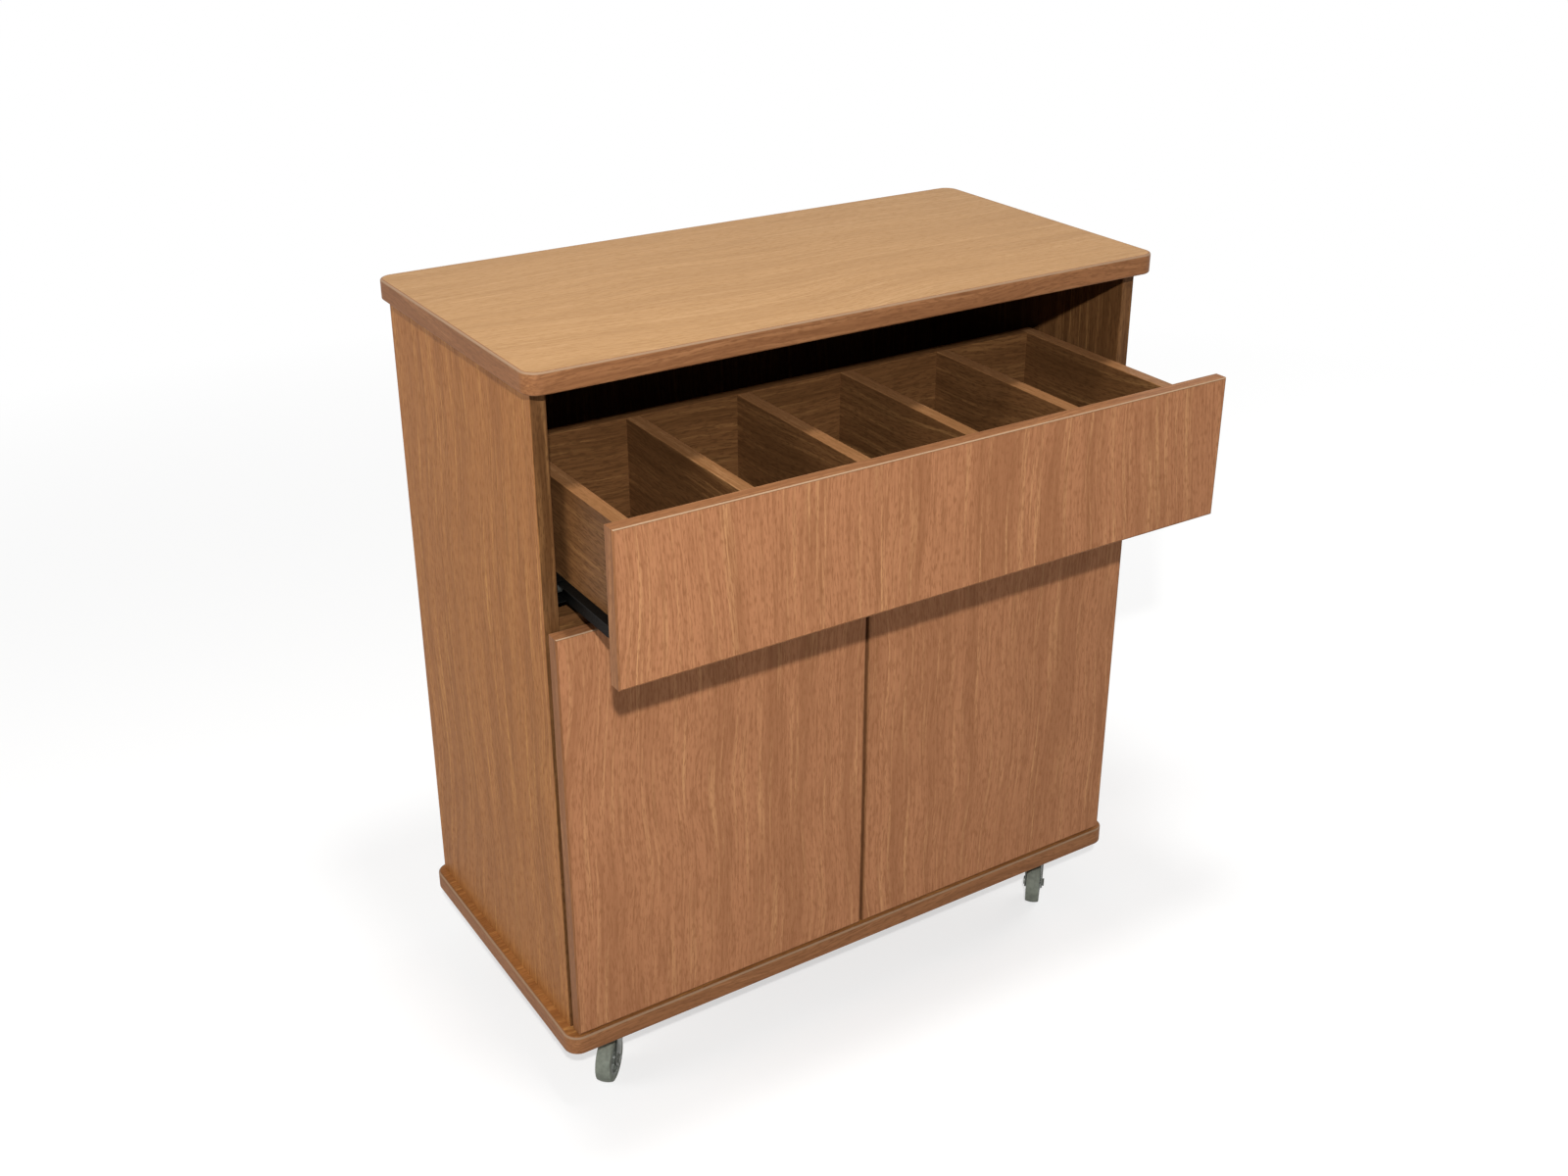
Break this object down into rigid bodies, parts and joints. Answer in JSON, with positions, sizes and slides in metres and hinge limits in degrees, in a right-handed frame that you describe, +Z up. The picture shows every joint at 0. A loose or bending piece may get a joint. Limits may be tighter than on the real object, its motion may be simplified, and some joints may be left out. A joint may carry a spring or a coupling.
{
  "type": "waiter station",
  "caption": "Mobile waiter station: wood-laminate cabinet with an overhanging top, a divided cutlery drawer above a hinged-door cupboard, on swivel casters.",
  "frame": {"origin": "on the floor, under the middle of the whole object with its drawer as far out as in the picture", "axes": "+X to the object's left-to-right as seen from the front, -Y out of the front, +Z up"},
  "size_m": [0.85, 0.569, 0.95],
  "materials": {
    "top_laminate": "satin",
    "base_laminate": "satin",
    "slab_edge_band": "satin",
    "side_laminate": "satin",
    "front_laminate": "satin",
    "front_edge_band": "satin",
    "deck_laminate": "satin",
    "back_board": "satin",
    "drawer_laminate": "satin",
    "drawer_back_laminate": "satin",
    "drawer_bottom_board": "satin",
    "beech_dowel": "matte",
    "black_runner_steel": "satin",
    "nylon_roller": "matte",
    "nickel_hinge": "satin",
    "zinc_hardware": "satin",
    "zinc_caster": "satin",
    "grey_hub": "matte",
    "grey_tyre": "matte"
  },
  "bodies": {
    "cabinet": {"top_panel": "top_laminate", "top_edge_band": "slab_edge_band", "base_panel": "base_laminate", "base_edge_band": "slab_edge_band", "left_side_panel": "side_laminate", "right_side_panel": "side_laminate", "back_panel": "back_board", "deck_panel": "deck_laminate", "shelf": "deck_laminate", "shelf_pins": "zinc_hardware", "carcass_dowels": "beech_dowel", "left_cabinet_runner": "black_runner_steel", "right_cabinet_runner": "black_runner_steel", "cabinet_screws": "zinc_hardware", "hinge_arms": "nickel_hinge", "caster_plates": "zinc_caster", "caster_screws": "zinc_hardware"},
    "drawer": {"drawer_front": "front_laminate", "drawer_front_edge_band": "front_edge_band", "drawer_left_side": "drawer_laminate", "drawer_right_side": "drawer_laminate", "drawer_back": "drawer_back_laminate", "drawer_bottom": "drawer_bottom_board", "drawer_divider_1": "drawer_laminate", "drawer_divider_2": "drawer_laminate", "drawer_divider_3": "drawer_laminate", "drawer_divider_4": "drawer_laminate", "left_drawer_runner": "black_runner_steel", "right_drawer_runner": "black_runner_steel", "drawer_screws": "zinc_hardware", "drawer_dowels": "beech_dowel"},
    "left_door": {"left_door": "front_laminate", "left_door_edge_band": "front_edge_band", "left_hinge_cups": "nickel_hinge", "left_hinge_pins": "nickel_hinge"},
    "right_door": {"right_door": "front_laminate", "right_door_edge_band": "front_edge_band", "right_hinge_cups": "nickel_hinge", "right_hinge_pins": "nickel_hinge"},
    "left_front_roller": {"left_front_roller": "nylon_roller"},
    "left_rear_roller": {"left_rear_roller": "nylon_roller"},
    "right_front_roller": {"right_front_roller": "nylon_roller"},
    "right_rear_roller": {"right_rear_roller": "nylon_roller"},
    "front_left_fork": {"front_left_fork": "zinc_caster", "front_left_axle": "zinc_caster"},
    "front_left_wheel": {"front_left_wheel": "grey_hub", "front_left_tyre": "grey_tyre"},
    "front_right_fork": {"front_right_fork": "zinc_caster", "front_right_axle": "zinc_caster"},
    "front_right_wheel": {"front_right_wheel": "grey_hub", "front_right_tyre": "grey_tyre"},
    "rear_left_fork": {"rear_left_fork": "zinc_caster", "rear_left_axle": "zinc_caster"},
    "rear_left_wheel": {"rear_left_wheel": "grey_hub", "rear_left_tyre": "grey_tyre"},
    "rear_right_fork": {"rear_right_fork": "zinc_caster", "rear_right_axle": "zinc_caster"},
    "rear_right_wheel": {"rear_right_wheel": "grey_hub", "rear_right_tyre": "grey_tyre"}
  },
  "joints": [
    {"name": "door_left_swing", "type": "hinge", "parent": "cabinet", "child": "left_door", "pos_m": [-0.402, -0.1255, 0.3805], "axis": [0, 0, -1], "range_deg": [0, 95]},
    {"name": "door_right_swing", "type": "hinge", "parent": "cabinet", "child": "right_door", "pos_m": [0.402, -0.1255, 0.3805], "axis": [0, 0, 1], "range_deg": [0, 95]},
    {"name": "drawer_slide", "type": "slide", "parent": "cabinet", "child": "drawer", "axis": [0, -1, 0], "range_m": [-0.148, 0.077]},
    {"name": "roller_left_front_turn", "type": "hinge", "parent": "cabinet", "child": "left_front_roller", "pos_m": [-0.3884, -0.0975, 0.69155], "axis": [1, 0, 0], "range_deg": [-1080, 570]},
    {"name": "roller_left_rear_turn", "type": "hinge", "parent": "drawer", "child": "left_rear_roller", "pos_m": [-0.3872, 0.0215, 0.68625], "axis": [1, 0, 0], "range_deg": [-1080, 570]},
    {"name": "roller_right_front_turn", "type": "hinge", "parent": "cabinet", "child": "right_front_roller", "pos_m": [0.3884, -0.0975, 0.69155], "axis": [1, 0, 0], "range_deg": [-1080, 570]},
    {"name": "roller_right_rear_turn", "type": "hinge", "parent": "drawer", "child": "right_rear_roller", "pos_m": [0.3872, 0.0215, 0.68625], "axis": [1, 0, 0], "range_deg": [-1080, 570]},
    {"name": "swivel_front_left", "type": "hinge", "parent": "cabinet", "child": "front_left_fork", "pos_m": [-0.343, -0.0875, 0.076], "axis": [0, 0, 1], "continuous": true},
    {"name": "wheel_front_left_turn", "type": "hinge", "parent": "front_left_fork", "child": "front_left_wheel", "pos_m": [-0.35842, -0.10319, 0.03], "axis": [0.7133, -0.7009, 0], "continuous": true},
    {"name": "swivel_front_right", "type": "hinge", "parent": "cabinet", "child": "front_right_fork", "pos_m": [0.343, -0.0875, 0.076], "axis": [0, 0, 1], "continuous": true},
    {"name": "wheel_front_right_turn", "type": "hinge", "parent": "front_right_fork", "child": "front_right_wheel", "pos_m": [0.32758, -0.10319, 0.03], "axis": [0.7133, -0.7009, 0], "continuous": true},
    {"name": "swivel_rear_left", "type": "hinge", "parent": "cabinet", "child": "rear_left_fork", "pos_m": [-0.343, 0.2325, 0.076], "axis": [0, 0, 1], "continuous": true},
    {"name": "wheel_rear_left_turn", "type": "hinge", "parent": "rear_left_fork", "child": "rear_left_wheel", "pos_m": [-0.35842, 0.21681, 0.03], "axis": [0.7133, -0.7009, 0], "continuous": true},
    {"name": "swivel_rear_right", "type": "hinge", "parent": "cabinet", "child": "rear_right_fork", "pos_m": [0.343, 0.2325, 0.076], "axis": [0, 0, 1], "continuous": true},
    {"name": "wheel_rear_right_turn", "type": "hinge", "parent": "rear_right_fork", "child": "rear_right_wheel", "pos_m": [0.32758, 0.21681, 0.03], "axis": [0.7133, -0.7009, 0], "continuous": true}
  ],
  "couplings": [
    {"joint": "roller_left_front_turn", "follows": "drawer_slide", "rad_per_m": 125},
    {"joint": "roller_left_rear_turn", "follows": "drawer_slide", "rad_per_m": 125},
    {"joint": "roller_right_front_turn", "follows": "drawer_slide", "rad_per_m": 125},
    {"joint": "roller_right_rear_turn", "follows": "drawer_slide", "rad_per_m": 125}
  ]
}
